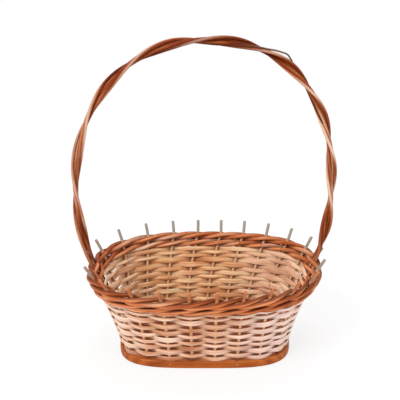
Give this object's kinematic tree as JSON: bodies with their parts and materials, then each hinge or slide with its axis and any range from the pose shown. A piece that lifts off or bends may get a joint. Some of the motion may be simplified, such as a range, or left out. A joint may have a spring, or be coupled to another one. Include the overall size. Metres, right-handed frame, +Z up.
{
  "type": "gift basket",
  "caption": "Oval willow basket with a wooden base board, flared woven wall, stained rod border and a tall fixed handle of twisted rods.",
  "frame": {"origin": "under the middle of the base board, on the surface that the basket stands on", "axes": "+Z up, +X along the basket's length towards one end of the handle, -Y to the front"},
  "size_m": [0.3547, 0.2643, 0.4213],
  "materials": {
    "stained_base": "orange-brown stained board with a satin varnish",
    "brad_steel": "dull bright steel",
    "stake_willow": "peeled willow rod, greyish at the cut tips",
    "pale_willow": "pale split willow, dry and satin",
    "stained_border": "willow stained orange-brown, uneven, satin varnish",
    "stained_handle": "willow stained red-brown, uneven, satin varnish"
  },
  "bodies": {
    "root": {"base_board": "stained_base", "brad_1": "brad_steel", "brad_2": "brad_steel", "brad_3": "brad_steel", "brad_4": "brad_steel", "brad_5": "brad_steel", "brad_6": "brad_steel", "brad_7": "brad_steel", "brad_8": "brad_steel", "stake_1": "stake_willow", "stake_2": "stake_willow", "stake_3": "stake_willow", "stake_4": "stake_willow", "stake_5": "stake_willow", "stake_6": "stake_willow", "stake_7": "stake_willow", "stake_8": "stake_willow", "stake_9": "stake_willow", "stake_10": "stake_willow", "stake_11": "stake_willow", "stake_12": "stake_willow", "stake_13": "stake_willow", "stake_14": "stake_willow", "stake_15": "stake_willow", "stake_16": "stake_willow", "stake_17": "stake_willow", "stake_18": "stake_willow", "stake_19": "stake_willow", "stake_20": "stake_willow", "stake_21": "stake_willow", "stake_22": "stake_willow", "stake_23": "stake_willow", "weaver_1": "pale_willow", "weaver_2": "pale_willow", "weaver_3": "pale_willow", "weaver_4": "pale_willow", "weaver_5": "pale_willow", "weaver_6": "pale_willow", "weaver_7": "pale_willow", "weaver_8": "pale_willow", "weaver_9": "pale_willow", "weaver_10": "pale_willow", "weaver_11": "pale_willow", "weaver_12": "pale_willow", "weaver_13": "pale_willow", "border_rod_1": "stained_border", "border_rod_2": "stained_border", "border_rod_3": "stained_border", "border_rod_4": "stained_border", "border_rod_5": "stained_border", "border_rod_6": "stained_border", "handle_rod_1": "stained_handle", "handle_rod_2": "stained_handle", "handle_rod_3": "stained_handle", "handle_rod_4": "stained_handle", "handle_stray_rod": "stained_handle"}
  },
  "joints": []
}
